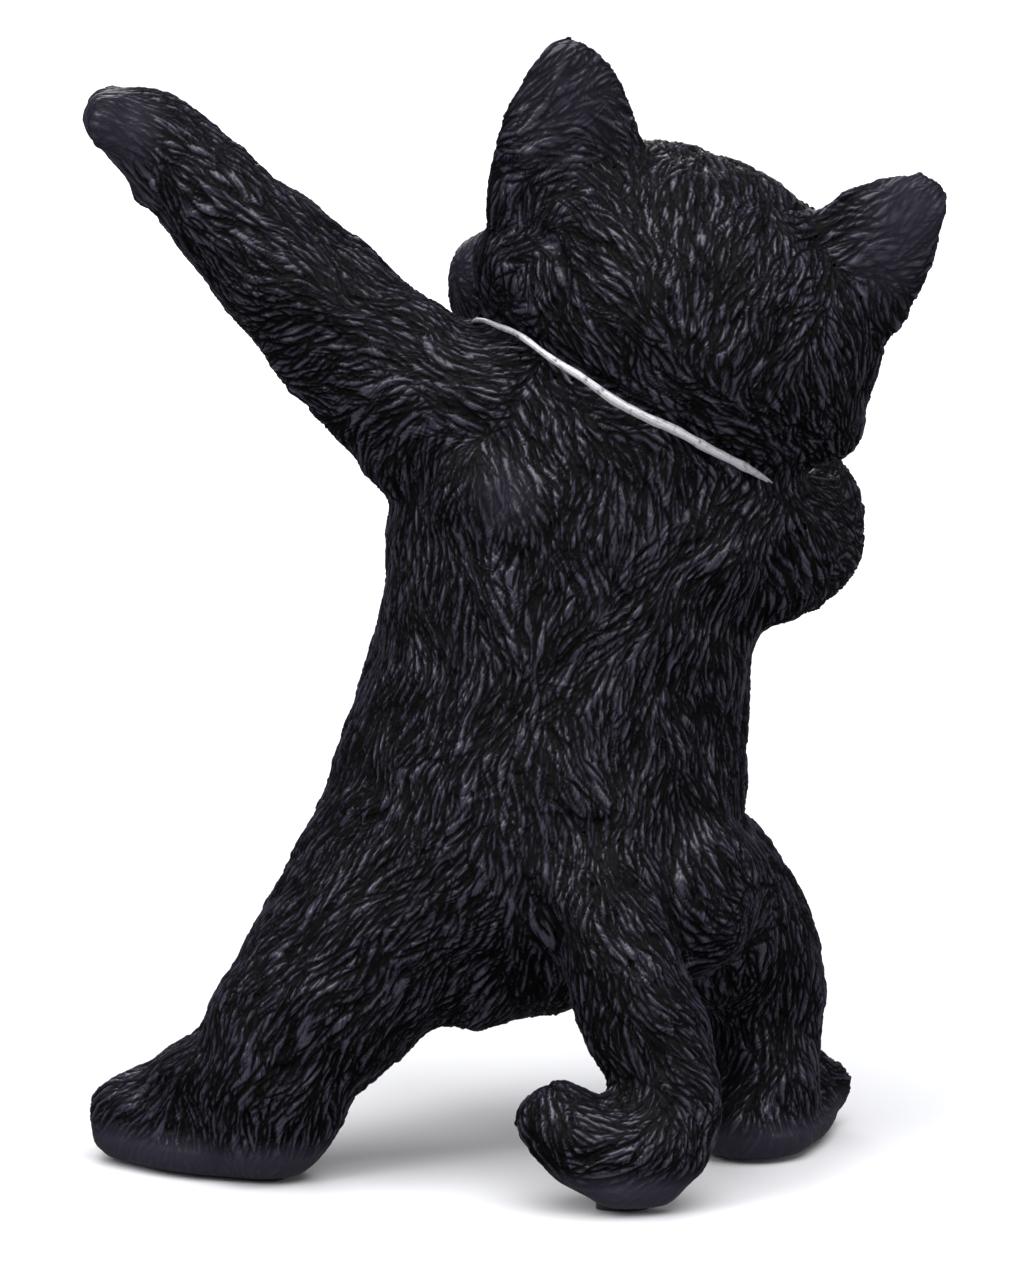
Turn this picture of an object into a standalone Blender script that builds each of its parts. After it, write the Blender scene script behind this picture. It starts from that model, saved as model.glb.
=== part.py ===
"""Dabbing cat figurine: a polyresin cat that stands on two feet and its tail, one arm flung out and
the other folded across its face.

The sculpt is divided the way a figurine of this shape is moulded: a hollow body, a hollow head that plugs
into the neck, and solid arms and tail that sit in shallow sockets on steel rods. A collar covers the neck
seam, glass eyes sit in the head, and felt pads keep the feet off the shelf.

The cat faces -Y and its raised arm points to +X. Lengths are in millimetres until they reach a mesh.
"""

import math

import bmesh
import bpy
from mathutils import Matrix, Vector

MM = 0.001

# ---------------------------------------------------------------- driving dimensions
FOOTPRINT = Vector((0.0, -2.31, 0.0))  # centre of the outline on the shelf, in the sculpt's coordinates
GAP = 0.3  # glue line between castings, all round
SOCKET_GAP = 0.6  # room for a limb in its socket
PAD_THICKNESS = 1.0
SOLE_Z = PAD_THICKNESS + GAP

HEAD_TILT = 27.0  # degrees, towards the cat's own right
HEAD_CENTRE = Vector((-31.5, -7.0, 163.0))
HEAD_CORE = Vector((23.0, 21.0, 21.0))
COLLAR_CENTRE = Vector((-21.0, -2.5, 147.7))
COLLAR_TILT = 29.0
COLLAR_PITCH = 8.0
COLLAR_HALF_WIDTH = 34.0
COLLAR_HALF_DEPTH = 27.0
COLLAR_BAND = 2.2
COLLAR_THICK = 1.6
SPIGOT_R = 14.0
SPIGOT_LENGTH = 8.0
SPIGOT_BORE_R = 8.0

EYE_RADII = Vector((6.5, 4.4, 6.2))
EYE_SPOT = Vector((14.5, -27.3, 5.0))  # the cat's left eye, in the upright head

ARM_ROD_R = 2.0
ARM_ROD_LENGTH = 22.0
TAIL_ROD_R = 1.5
TAIL_ROD_LENGTH = 16.0

LEFT_PAD = ((58.0, 5.0), (19.0, 7.0), -47.0)  # centre, half-sizes and turn in degrees
RIGHT_PAD = ((-52.0, -19.5), (17.0, 6.5), 70.0)
TAIL_PAD = ((-20.5, 41.4), (5.0, 3.4), 0.0)

# ---------------------------------------------------------------- the sculpt: beads of x, y, z and three radii
RAISED_ARM = (
    (12, -1, 146.5, 18.5, 18, 18),
    (24, -2, 154.4, 16.5, 16, 16.5),
    (39, -4, 168, 14.2, 14, 14.2),
    (52.7, -6, 181.5, 12, 12, 12),
    (65, -8, 194, 10.1, 11, 10.1),
    (71, -9, 199.5, 8.8, 10.5, 8.8),
    (75, -10, 202.3, 7.4, 9.5, 7.0),
)
BENT_ARM = (
    (-48, -3, 119.5, 15.5, 16, 15),
    (-53.5, -19, 117, 14.5, 14, 14),
    (-55.5, -34, 120, 13.8, 13.2, 13.8),
    (-48, -42.5, 129, 12.6, 12, 12.6),
    (-28, -47, 141, 12, 11, 12),
    (-10, -44, 154, 12, 11.2, 12),
    (2.3, -37, 166, 11.5, 11.5, 11.6),
)
TAIL = (
    (-15, 24, 64, 12, 11, 12),
    (-19, 31, 50, 12.2, 12, 12),
    (-24.5, 36, 37, 12.5, 12, 12),
    (-28, 39, 25, 12.5, 12, 12),
    (-27, 41, 14, 12, 12, 12),
    (-18, 41.5, 11, 11.5, 11.5, 11.5),
    (-11, 39.5, 13, 10, 10, 10),
    (-8.8, 37, 16, 8.6, 8.5, 8.6),
)
TORSO = (
    (-23, -2, 147, 32, 25, 15),
    (-14, -1, 130, 38.5, 27, 16),
    (-12, 0, 112, 37.7, 28, 18),
    (-8, 1, 92, 38.2, 29, 18),
    (-4.5, 3, 74, 41.5, 31, 18),
    (-6, 5, 58, 39, 31, 20),
)
LEFT_SHOULDER = ((0, -1, 140, 20, 19, 20), (8, -1, 146, 18, 18, 17.5))
RIGHT_SHOULDER = ((-40, -2, 124, 19, 20, 17),)
RIGHT_BUTTOCK = ((-31, 12, 56, 17, 18, 19),)
CROTCH = ((-4, 5, 50, 20, 24, 20), (8, 6, 48, 22, 22, 21))
LEFT_LEG = (
    (14, 5, 62, 27, 27, 25),
    (25, 9, 49, 23, 23, 22),
    (34, 13, 37, 20.5, 20, 19),
    (41.5, 15, 27, 19, 17, 17),
    (47.5, 16, 13, 14, 14.5, 14),
)
LEFT_FOOT = ((48, 14, 8, 13.5, 13.5, 12), (59, 5, 7.5, 12.5, 12, 11.5), (71.5, -7, 7.8, 12, 11.5, 10.5))
RIGHT_LEG = (
    (-28.5, 2, 62, 19.2, 25, 21),
    (-39, -5, 48, 17, 21, 18),
    (-47, -11, 35, 14, 15, 15),
    (-48.5, -9, 21, 12, 12, 13),
    (-47, -5, 10, 12, 12, 11),
)
RIGHT_FOOT = ((-46, -3, 7, 12, 12, 10), (-51, -17, 6.5, 12, 12, 9.5), (-55, -29, 7.3, 11.5, 11, 9.5))
BODY_CORE = ((-15, 0, 120, 22, 16, 13), (-10, 0, 97, 28, 20, 19), (-6, 3, 71, 30, 21.5, 19))

LEFT_CHEEK = ((-6.3, -4, 170.5, 14.5, 14, 14),)
RIGHT_CHEEK = ((-54.4, -4, 146.5, 14.6, 14, 14),)
LEFT_EAR = (
    (-10.5, 0, 187, 16, 7, 16),
    (-10.5, 1, 198, 14.2, 5.2, 14.2),
    (-10.8, 1.5, 206.5, 10.6, 4.2, 10.6),
    (-10.7, 2, 212.5, 7, 3.4, 7),
)
RIGHT_EAR = (
    (-63, 0, 170, 14.5, 7, 14.5),
    (-67.8, 1, 177.5, 12.8, 5.2, 12.8),
    (-73, 1.5, 183, 9.7, 4.2, 9.7),
    (-77, 2, 187, 6.5, 3.4, 6.5),
)
LEFT_EAR_HOLLOW = ((-10.8, -5.5, 199), (7.5, 4.5, 13), 0.0)  # centre, half-sizes, lean in degrees
RIGHT_EAR_HOLLOW = ((-69.5, -5.5, 179), (6.5, 4.5, 11), -45.0)

RAISED_ARM_ROOT = (Vector((22, -2, 152)), Vector((0.72, -0.08, 0.69)).normalized())
BENT_ARM_ROOT = (Vector((-50.5, -11, 117)), Vector((-0.25, -0.96, -0.10)).normalized())
TAIL_ROOT = (Vector((-17.2, 28.5, 55)), Vector((-0.22, 0.42, -0.88)).normalized())


def figure_collection(name):
    """A new collection in the scene."""
    made = bpy.data.collections.new(name)
    bpy.context.scene.collection.children.link(made)
    return made


def clear_scene():
    """Removes the objects that Blender starts with."""
    for obj in list(bpy.data.objects):
        bpy.data.objects.remove(obj)


def place(point):
    """A point of the sculpt in metres, measured from the footprint's centre."""
    return (Vector(point) - FOOTPRINT) * MM


def new_object(name, mesh_builder, collection):
    """A named object whose mesh is the bmesh that the builder fills."""
    mesh = bpy.data.meshes.new(name)
    shape = bmesh.new()
    mesh_builder(shape)
    shape.to_mesh(mesh)
    shape.free()
    obj = bpy.data.objects.new(name, mesh)
    collection.objects.link(obj)
    return obj


def as_cutter(obj):
    """Marks a helper that only cuts other pieces."""
    obj.hide_render = True
    obj.display_type = "WIRE"
    return obj


def between(p0, p1, p2, p3, t):
    """Catmull-Rom value between p1 and p2."""
    return 0.5 * (
        2 * p1 + (p2 - p0) * t + (2 * p0 - 5 * p1 + 4 * p2 - p3) * t * t + (3 * p1 - p0 - 3 * p2 + p3) * t**3
    )


def string_of_beads(stations, per_span=5):
    """Centres and radii read from a smooth curve through the stations."""
    rows = [(Vector(s[:3]), Vector(s[3:])) for s in stations]
    beads = [rows[0]]
    for i in range(len(rows) - 1):
        around = [rows[max(0, min(len(rows) - 1, j))] for j in (i - 1, i, i + 1, i + 2)]
        for step in range(1, per_span + 1):
            t = step / per_span
            beads.append(tuple(between(*(row[k] for row in around), t) for k in (0, 1)))
    return beads


def modifier_result(obj, kind, **settings):
    """Adds a modifier, makes its result the object's own mesh and clears it."""
    modifier = obj.modifiers.new(kind.title(), kind)
    for key, value in settings.items():
        setattr(modifier, key, value)
    bpy.context.view_layer.update()
    graph = bpy.context.evaluated_depsgraph_get()
    mesh = bpy.data.meshes.new_from_object(obj.evaluated_get(graph))
    old = obj.data
    obj.modifiers.clear()
    obj.data = mesh
    bpy.data.meshes.remove(old)
    return obj


def sculpt(name, chains, collection, swell=0.0, voxel=1.7, keep=0.16):
    """One closed organic form: ellipsoid beads fused by a voxel remesh, smoothed and thinned out."""

    def fill(shape):
        for chain in chains:
            for centre, radii in string_of_beads(chain):
                size = (radii + Vector((swell,) * 3)) * MM
                turn = Matrix.LocRotScale(place(centre), None, size)
                bmesh.ops.create_icosphere(shape, subdivisions=3, radius=1, matrix=turn)

    obj = new_object(name, fill, collection)
    modifier_result(obj, "REMESH", mode="VOXEL", voxel_size=voxel * MM)
    modifier_result(obj, "SMOOTH", factor=0.5, iterations=8)
    return modifier_result(obj, "DECIMATE", ratio=keep)


def clip(obj, point, normal):
    """Cuts the mesh by a plane, keeps the side that the normal points to and closes the cut."""
    shape = bmesh.new()
    shape.from_mesh(obj.data)
    everything = shape.verts[:] + shape.edges[:] + shape.faces[:]
    cut = bmesh.ops.bisect_plane(
        shape, geom=everything, dist=1e-7, plane_co=place(point), plane_no=normal, clear_inner=True
    )
    rim = [e for e in cut["geom_cut"] if isinstance(e, bmesh.types.BMEdge)]
    bmesh.ops.holes_fill(shape, edges=rim, sides=0)
    bmesh.ops.triangulate(shape, faces=shape.faces[:])
    bmesh.ops.recalc_face_normals(shape, faces=shape.faces[:])
    shape.to_mesh(obj.data)
    shape.free()
    return obj


def keep_largest(obj):
    """Drops the crumbs that a cut leaves, so that one connected body stays."""
    shape = bmesh.new()
    shape.from_mesh(obj.data)
    waiting = set(shape.verts)
    groups = []
    while waiting:
        group = [waiting.pop()]
        for vert in group:
            for edge in vert.link_edges:
                other = edge.other_vert(vert)
                if other in waiting:
                    waiting.remove(other)
                    group.append(other)
        groups.append(group)
    groups.sort(key=len)
    crumbs = [vert for group in groups[:-1] for vert in group if len(group) < len(groups[-1]) // 20]
    bmesh.ops.delete(shape, geom=crumbs, context="VERTS")
    shape.to_mesh(obj.data)
    shape.free()
    return obj


def upright_to(direction):
    """Rotation that turns +Z to the direction."""
    return Vector(direction).to_track_quat("Z", "Y").to_matrix().to_4x4()


def bar(name, start, direction, radius, length, collection, sides=20):
    """A round bar that starts at a point and runs along a direction."""
    middle = Vector(start) + Vector(direction).normalized() * (length / 2)
    turn = Matrix.Translation(place(middle)) @ upright_to(direction)

    def fill(shape):
        bmesh.ops.create_cone(
            shape, cap_ends=True, segments=sides, radius1=radius * MM, radius2=radius * MM,
            depth=length * MM, matrix=turn,
        )

    return new_object(name, fill, collection)


def ellipsoid(name, centre, radii, collection, turn=None, segments=16):
    """A stretched ball, turned in place."""
    matrix = Matrix.Translation(place(centre)) @ (turn or Matrix()) @ Matrix.Diagonal((*(Vector(radii) * MM), 1))

    def fill(shape):
        bmesh.ops.create_uvsphere(shape, u_segments=segments, v_segments=segments // 2, radius=1, matrix=matrix)

    return new_object(name, fill, collection)


def cut_away(obj, *cutters):
    """Takes each cutter out of the piece, and makes the result its own mesh."""
    for cutter in cutters:
        modifier_result(obj, "BOOLEAN", operation="DIFFERENCE", object=as_cutter(cutter), solver="EXACT")
    return keep_largest(obj)


def unite(obj, other):
    """Joins a closed form into the piece, and removes it."""
    modifier_result(obj, "BOOLEAN", operation="UNION", object=other, solver="EXACT")
    bpy.data.objects.remove(other)
    return obj


def head_turn():
    """The head's lean towards the cat's right shoulder."""
    return Matrix.Rotation(math.radians(-HEAD_TILT), 4, "Y")


def in_head(x, y, z):
    """A point given in the upright head, as a point of the sculpt."""
    return HEAD_CENTRE + head_turn().to_3x3() @ Vector((x, y, z))


def collar_turn():
    """The collar's plane: leaning with the head, and lower at the throat."""
    lean = Matrix.Rotation(math.radians(-COLLAR_TILT), 4, "Y")
    pitch = Matrix.Rotation(math.radians(COLLAR_PITCH), 4, "X")
    return lean @ pitch


def collar_up():
    """The direction from the body to the head across the collar's plane."""
    return collar_turn().to_3x3() @ Vector((0, 0, 1))


# ---------------------------------------------------------------- materials
def paint(name, colour, roughness, metallic=0.0):
    """A plain finish."""
    made = bpy.data.materials.new(name)
    made.use_nodes = True
    shader = made.node_tree.nodes["Principled BSDF"]
    shader.inputs["Base Color"].default_value = (*colour, 1)
    shader.inputs["Roughness"].default_value = roughness
    shader.inputs["Metallic"].default_value = metallic
    return made


def finish(obj, material):
    """Gives a piece its finish, and shades its round faces smooth."""
    obj.data.materials.clear()
    obj.data.materials.append(material)
    obj.data.shade_smooth()
    obj.data.set_sharp_from_angle(angle=math.radians(50))
    return obj


# ---------------------------------------------------------------- the pieces
def collar_ring(name, collection, grow=0.0, sides=64):
    """A flat band bent into an ellipse round the neck, with square edges."""
    outer_half = COLLAR_THICK / 2 + grow
    band_half = COLLAR_BAND / 2 + grow
    corners = ((-outer_half, -band_half), (outer_half, -band_half), (outer_half, band_half), (-outer_half, band_half))
    turn = Matrix.Translation(place(COLLAR_CENTRE)) @ collar_turn()

    def fill(shape):
        loops = []
        for i in range(sides):
            angle = math.tau * i / sides
            out = Vector((COLLAR_HALF_DEPTH * math.cos(angle), COLLAR_HALF_WIDTH * math.sin(angle), 0)).normalized()
            spot = Vector((COLLAR_HALF_WIDTH * math.cos(angle), COLLAR_HALF_DEPTH * math.sin(angle), 0))
            loops.append([shape.verts.new(turn @ ((spot + out * x + Vector((0, 0, z))) * MM)) for x, z in corners])
        for i in range(sides):
            here, after = loops[i], loops[(i + 1) % sides]
            for k in range(4):
                shape.faces.new((here[k], after[k], after[(k + 1) % 4], here[(k + 1) % 4]))
        bmesh.ops.recalc_face_normals(shape, faces=shape.faces[:])

    return new_object(name, fill, collection)


def limb(name, stations, root, collection, keep):
    """A solid limb casting, cut off flat where it meets the body."""
    return clip(sculpt(name, (stations,), collection, keep=keep), *root)


def limb_room(name, stations, root, cutters, keep=0.05):
    """The room that a limb needs in a neighbour: its own form, a little swollen."""
    point, normal = root
    room = sculpt(name, (stations,), cutters, swell=SOCKET_GAP, keep=keep)
    return clip(room, point - normal * GAP, normal)


def rod_hole(name, root, radius, length, cutters):
    """The blind hole that a rod needs on both sides of a joint."""
    point, normal = root
    return bar(name, point - normal * (length / 2 + GAP), normal, radius + GAP, length + 2 * GAP, cutters)


def rod(name, root, radius, length, figure, material):
    """A steel rod across a joint, half of it in each casting."""
    point, normal = root
    return finish(bar(name, point - normal * (length / 2), normal, radius, length, figure), material)


def build_body(figure, cutters):
    """The hollow body casting: torso, legs and feet in one, with a neck bore and a seat for each limb."""
    chains = (
        TORSO, CROTCH, LEFT_SHOULDER, RIGHT_SHOULDER, RIGHT_BUTTOCK,
        LEFT_LEG, LEFT_FOOT, RIGHT_LEG, RIGHT_FOOT,
        RAISED_ARM[:3], BENT_ARM[:2], TAIL[:2],
    )
    body = sculpt("body_casting", chains, figure, keep=0.062)
    clip(body, (0, 0, SOLE_Z), (0, 0, 1))
    up = collar_up()
    clip(body, COLLAR_CENTRE - up * (GAP / 2), -up)
    core = sculpt("body_core", (BODY_CORE,), cutters, voxel=3.0, keep=0.12)
    neck_foot = COLLAR_CENTRE - up * (SPIGOT_LENGTH + 2 * GAP)
    passage = bar("neck_passage", COLLAR_CENTRE - up * 32, up, SPIGOT_BORE_R, 34, cutters, sides=32)
    seat = bar("spigot_seat", neck_foot, up, SPIGOT_R + GAP, SPIGOT_LENGTH + 4, cutters, sides=32)
    return cut_away(
        body,
        core,
        passage,
        seat,
        collar_ring("collar_groove_below", cutters, grow=GAP),
        limb_room("raised_arm_room", RAISED_ARM[:4], RAISED_ARM_ROOT, cutters),
        limb_room("bent_arm_room", BENT_ARM[:4], BENT_ARM_ROOT, cutters),
        limb_room("tail_room", TAIL[:4], TAIL_ROOT, cutters),
        rod_hole("raised_arm_hole", RAISED_ARM_ROOT, ARM_ROD_R, ARM_ROD_LENGTH, cutters),
        rod_hole("bent_arm_hole", BENT_ARM_ROOT, ARM_ROD_R, ARM_ROD_LENGTH, cutters),
        rod_hole("tail_hole", TAIL_ROOT, TAIL_ROD_R, TAIL_ROD_LENGTH, cutters),
    )


def head_chains():
    """Skull, cheeks, muzzle and ears, as beads in the sculpt's coordinates."""
    skull = tuple((*in_head(x, 0, 1), r, r, r) for x, r in ((-9, 31), (0, 32.5), (9, 30.5)))
    muzzle = tuple((*in_head(x, -26, -11), 10.5, 10, 9.5) for x in (-6, 6))
    return skull, muzzle, LEFT_CHEEK, RIGHT_CHEEK, LEFT_EAR, RIGHT_EAR


def build_head(figure, cutters):
    """The hollow head casting, with its spigot, its eye sockets and the groove that the forearm lies in."""
    head = sculpt("head_casting", head_chains(), figure, keep=0.06)
    up = collar_up()
    clip(head, COLLAR_CENTRE + up * (GAP / 2), up)
    spigot_foot = COLLAR_CENTRE - up * SPIGOT_LENGTH
    unite(head, bar("spigot", spigot_foot, up, SPIGOT_R, SPIGOT_LENGTH + 6, cutters, sides=32))
    core = ellipsoid("head_core", in_head(0, 0, 1), HEAD_CORE, cutters, turn=head_turn(), segments=20)
    bore = bar("spigot_bore", spigot_foot - up, up, SPIGOT_BORE_R, 20, cutters, sides=32)
    hollows = [
        ellipsoid(name, centre, half, cutters, Matrix.Rotation(math.radians(lean), 4, "Y"))
        for name, (centre, half, lean) in (
            ("left_ear_hollow", LEFT_EAR_HOLLOW),
            ("right_ear_hollow", RIGHT_EAR_HOLLOW),
        )
    ]
    pockets = [
        ellipsoid(f"{side}_eye_pocket", eye_centre(sign), EYE_RADII + Vector((GAP,) * 3), cutters, head_turn())
        for side, sign in (("left", 1), ("right", -1))
    ]
    forearm = sculpt("forearm_groove", (BENT_ARM,), cutters, swell=SOCKET_GAP, keep=0.06)
    arm = sculpt("raised_arm_side", (RAISED_ARM[:4],), cutters, swell=SOCKET_GAP, keep=0.05)
    ring = collar_ring("collar_groove_above", cutters, grow=GAP)
    return cut_away(head, core, bore, ring, *hollows, *pockets, forearm, arm)


def eye_centre(sign):
    """Middle of an eye; the sign is 1 for the cat's left."""
    return in_head(sign * EYE_SPOT.x, EYE_SPOT.y, EYE_SPOT.z)


def felt_pad(name, outline, figure, material):
    """An oval of felt that keeps a foot off the shelf."""
    (x, y), half, angle = outline
    size = (half[0] * MM, half[1] * MM, PAD_THICKNESS * MM, 1)
    turn = Matrix.Rotation(math.radians(angle), 4, "Z")
    matrix = Matrix.Translation(place((x, y, PAD_THICKNESS / 2))) @ turn @ Matrix.Diagonal(size)

    def fill(shape):
        bmesh.ops.create_cone(shape, cap_ends=True, segments=32, radius1=1, radius2=1, depth=1, matrix=matrix)

    return finish(new_object(name, fill, figure), material)


def main():
    clear_scene()
    figure = figure_collection("dabbing_cat")
    cutters = figure_collection("cutters")
    resin = paint("black_resin", (0.012, 0.012, 0.015), 0.45)
    steel = paint("bright_steel", (0.55, 0.55, 0.56), 0.35, 1.0)
    silver = paint("silver_band", (0.75, 0.75, 0.76), 0.3, 1.0)
    felt = paint("dark_felt", (0.02, 0.02, 0.022), 0.95)
    amber = paint("amber_eye", (0.45, 0.22, 0.02), 0.08)

    finish(build_body(figure, cutters), resin)
    finish(build_head(figure, cutters), resin)

    helpers = cutters.objects
    raised = limb("raised_arm_casting", RAISED_ARM, RAISED_ARM_ROOT, figure, keep=0.10)
    finish(cut_away(raised, helpers["raised_arm_hole"]), resin)
    bent = limb("bent_arm_casting", BENT_ARM, BENT_ARM_ROOT, figure, keep=0.09)
    finish(cut_away(bent, helpers["bent_arm_hole"], helpers["collar_groove_above"]), resin)
    tail = limb("tail_casting", TAIL, TAIL_ROOT, figure, keep=0.10)
    clip(tail, (0, 0, SOLE_Z), (0, 0, 1))
    finish(cut_away(tail, helpers["tail_hole"]), resin)

    finish(collar_ring("collar_band", figure), silver)
    rod("raised_arm_rod", RAISED_ARM_ROOT, ARM_ROD_R, ARM_ROD_LENGTH, figure, steel)
    rod("bent_arm_rod", BENT_ARM_ROOT, ARM_ROD_R, ARM_ROD_LENGTH, figure, steel)
    rod("tail_rod", TAIL_ROOT, TAIL_ROD_R, TAIL_ROD_LENGTH, figure, steel)
    for side, sign in (("left", 1), ("right", -1)):
        eye = ellipsoid(f"{side}_eye", eye_centre(sign), EYE_RADII, figure, head_turn())
        finish(eye, amber)
    felt_pad("left_foot_pad", LEFT_PAD, figure, felt)
    felt_pad("right_foot_pad", RIGHT_PAD, figure, felt)
    felt_pad("tail_pad", TAIL_PAD, figure, felt)


main()
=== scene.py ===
"""Dabbing cat figurine, finished: resin with a sculpted coat, a silver collar, acrylic eyes and felt feet.

The cat stands on its hind legs and its tail, faces -Y, flings its left arm (+X) up and folds the right one
across its face. Lengths are in millimetres of the sculpt until a mesh is made. The sculpt is a union of
ellipsoid beads, fused, smoothed and subdivided. Locks of hair are then stamped into it as numpy arrays, each
one a leaf with its own direction, and single tool strokes are cut between them.
"""

import math

import bpy
import numpy as np
from mathutils import Matrix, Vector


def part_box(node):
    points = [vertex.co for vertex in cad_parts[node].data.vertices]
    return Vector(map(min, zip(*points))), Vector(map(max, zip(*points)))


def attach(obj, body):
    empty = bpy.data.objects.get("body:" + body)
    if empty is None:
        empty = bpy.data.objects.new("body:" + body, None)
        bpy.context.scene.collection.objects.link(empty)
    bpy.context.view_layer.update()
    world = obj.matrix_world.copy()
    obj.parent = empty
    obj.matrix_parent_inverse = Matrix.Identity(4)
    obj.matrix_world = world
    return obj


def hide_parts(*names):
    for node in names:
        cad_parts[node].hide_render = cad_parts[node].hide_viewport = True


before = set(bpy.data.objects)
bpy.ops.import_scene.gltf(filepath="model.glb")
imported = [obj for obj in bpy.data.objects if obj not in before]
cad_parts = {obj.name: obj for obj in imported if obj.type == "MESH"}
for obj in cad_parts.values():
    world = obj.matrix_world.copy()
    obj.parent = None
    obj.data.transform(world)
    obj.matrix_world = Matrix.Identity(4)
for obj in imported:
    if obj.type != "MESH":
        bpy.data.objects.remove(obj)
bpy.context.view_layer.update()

MM = 0.001

# The left foot's felt pad lies at a known spot of the sculpt, and ties the sculpt to the frame.
PAD_SPOT = np.array([58.0, 5.0, 0.5])
pad_low, pad_high = (np.array(corner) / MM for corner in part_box("left_foot_pad"))
SHIFT = (pad_low + pad_high) / 2 - PAD_SPOT

# ------------------------------------------------------------------ the sculpt: beads of x, y, z and radii
HEAD_CENTRE = np.array([-31.5, -7.0, 163.0])
HEAD_TILT = math.radians(-27.0)
COLLAR_CENTRE = np.array([-21.0, -2.5, 147.7])
COLLAR_TILT = math.radians(-29.0)
COLLAR_PITCH = math.radians(8.0)
COLLAR_HALF = (34.0, 27.0)
# How far the collar lies above its plane behind the neck, against the distance to the cat's left.
COLLAR_LIE = np.array([
    (-34, 0.0), (-28, 0.4), (-20, 0.15), (-9, -0.25), (-3, -0.75), (4, -0.75), (8, -0.4),
    (13, 0.35), (20, 0.75), (24, 1.3), (27, 1.6), (30.5, 1.1), (34, 0.2),
])
SOLE_Z = 1.3

TORSO = (
    (-23, -2, 147, 32, 25, 15),
    (-14.5, -1, 130, 37.6, 27, 16),
    (-11.6, 0, 112, 37.7, 28, 18),
    (-7.6, 1, 92, 38.0, 29, 18),
    (-4.4, 3, 74, 40.8, 31, 18),
    (-5.4, 5, 58, 38.4, 31, 20),
)
LEFT_SHOULDER = ((0, -1, 140, 20, 19, 20), (8, -1, 146, 18, 18, 17.5), (18.2, -1, 140.2, 13, 14, 12.2))
RIGHT_SHOULDER = ((-40, -2, 124, 19, 20, 17),)
SHOULDER_BLADES = ((6, 17, 131, 10, 7, 12), (-36, 16, 121, 10, 7, 12))
RIGHT_BUTTOCK = ((-31, 12, 56, 17, 19, 19),)
LEFT_BUTTOCK = ((4, 15, 58, 17, 18, 17),)
CROTCH = ((-4, 5, 50, 20, 24, 20), (8, 6, 48, 22, 22, 21))
RAISED_ARM = (
    (12, -1, 146.5, 18.5, 18, 18),
    (24, -2, 154.2, 16.6, 16, 16.6),
    (39, -4, 168.4, 14.3, 14, 14.3),
    (52.7, -6, 182.4, 12.1, 12, 12.1),
    (63.5, -8, 193.3, 10.4, 11, 10.4),
    (69.8, -9, 198.5, 8.9, 10.3, 8.7),
    (73.4, -10, 200.8, 7.6, 9.3, 7.6),
)
BENT_ARM = (
    (-47.8, -3, 119.2, 15.3, 16, 15.5),
    (-53.4, -19, 118.4, 14.3, 14, 13.7),
    (-55.0, -34, 122.0, 13.2, 13.2, 13.2),
    (-48, -42.5, 129, 12.6, 12, 12.6),
    (-28, -47, 141, 12, 11, 12),
    (-10, -44, 154, 12, 11.2, 12),
    (2.3, -37, 166, 11.5, 11.5, 11.6),
)
TAIL = (
    (-15, 24, 64, 12, 11, 12),
    (-19, 30.5, 50, 12, 12, 12),
    (-24.1, 34, 37, 12.2, 11.8, 11.8),
    (-28.7, 36, 26, 10.9, 11.3, 11),
    (-29.4, 40, 16.8, 10.4, 11, 10.4),
    (-25.5, 43.5, 12.2, 10.2, 10.4, 10.2),
    (-18.4, 44.5, 12.2, 10.0, 10.2, 10.0),
    (-12.4, 43.3, 14.0, 9.5, 9.8, 9.5),
    (-8.7, 41.5, 16.5, 8.8, 8.6, 8.8),
)
TAIL_SOLE = ((-26, 43.5, 5.6, 6.5, 8.5, 5), (-20.5, 44.5, 5.4, 7.5, 9, 5))
LEFT_LEG = (
    (13.6, 5, 62, 26.8, 27, 25),
    (24.8, 9, 49, 22.8, 23, 22),
    (34.4, 13, 37, 20.0, 20, 18.6),
    (42.4, 15, 27, 18.2, 17, 16.8),
    (47.5, 16, 13, 14, 14.5, 14),
)
LEFT_FOOT = ((50, 12.5, 8, 12, 12.5, 11), (60, 8, 7.7, 12.5, 12, 11.7), (70.4, 0.5, 8.5, 11.5, 11.5, 10.9))
LEFT_SOLE = ((52, 12, 4.5, 11, 12.5, 6), (60, 8.5, 4.5, 12.5, 12.5, 6), (70.8, 0.5, 5, 11.6, 11.5, 6))
LEFT_ANKLE = ((55.2, 13, 20, 11, 11, 10.4), (63.4, 4.5, 14, 10.4, 10, 9))
RIGHT_LEG = (
    (-26.8, 2, 60, 17.6, 25, 20),
    (-38.6, -5, 47.6, 17, 21, 17.6),
    (-47, -11, 35, 14, 15, 15),
    (-48.5, -9, 21, 12, 12, 13),
    (-47, -5, 10, 12, 12, 11),
)
RIGHT_FOOT = ((-46, -3, 7, 12, 12, 10), (-51, -17, 6.5, 12, 12, 9.5), (-53, -27, 8.0, 11, 11, 10.5))
RIGHT_SOLE = ((-46.5, -4, 4.5, 12.6, 12.6, 6), (-51, -17, 4.5, 12.4, 12.4, 6), (-53.5, -28, 5, 11, 11, 6))


def in_head(x, y, z):
    """A point given in the upright head, as a point of the sculpt: turned about Y by the head's tilt."""
    c, s = math.cos(HEAD_TILT), math.sin(HEAD_TILT)
    return HEAD_CENTRE + np.array([c * x + s * z, y, -s * x + c * z])


def head_bead(x, y, z, rx, ry, rz):
    """A bead of the head, placed in the upright head."""
    return (*in_head(x, y, z), rx, ry, rz)


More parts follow.
